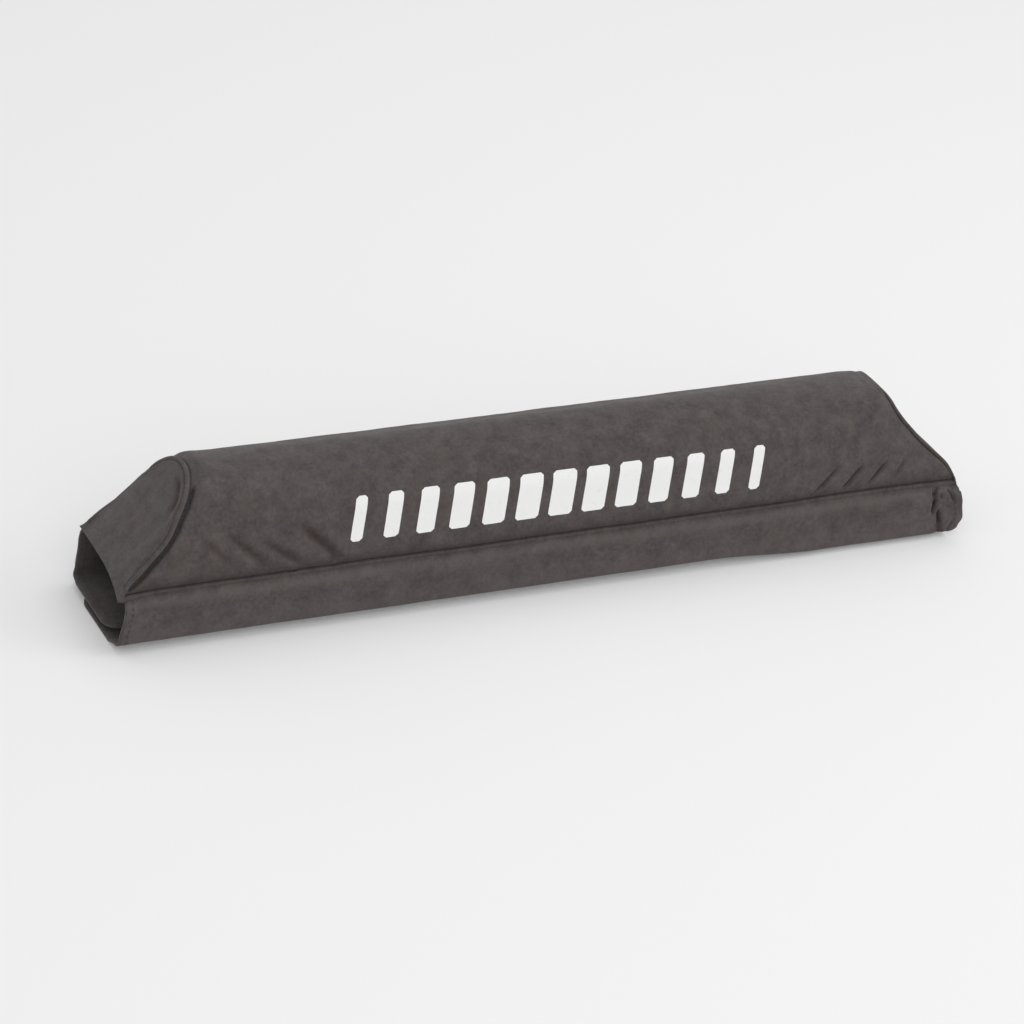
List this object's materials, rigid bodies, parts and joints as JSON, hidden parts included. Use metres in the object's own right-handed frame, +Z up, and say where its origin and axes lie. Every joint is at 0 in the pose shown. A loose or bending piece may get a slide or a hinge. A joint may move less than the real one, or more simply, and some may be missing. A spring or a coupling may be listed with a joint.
{
  "type": "roof rack pad",
  "caption": "Long sewn foam pad with an arched crown and sloped ends, wrapped round a roof-rack slat and closed underneath with hook-and-loop tape.",
  "frame": {"origin": "middle of the underside, below the closure", "axes": "+X along the pad and the slat, to the right seen from the printed front; +Y to the rear; +Z up"},
  "size_m": [0.6064, 0.0916, 0.1024],
  "materials": {
    "cover_cloth": "matt charcoal coated polyester, plain weave, with white screen print on the front",
    "foam": "closed-cell foam, matt, fine skin",
    "hook_tape": "black hook tape, stiff, slight sheen",
    "loop_tape": "black loop tape, brushed, matt"
  },
  "bodies": {
    "root": {"foam_core": "foam", "top_cover": "cover_cloth", "left_end_panel": "cover_cloth", "right_end_panel": "cover_cloth", "base_panel": "cover_cloth", "front_wrap_flap": "cover_cloth", "rear_wrap_flap": "cover_cloth", "hook_tape": "hook_tape", "loop_tape": "loop_tape"}
  },
  "joints": []
}
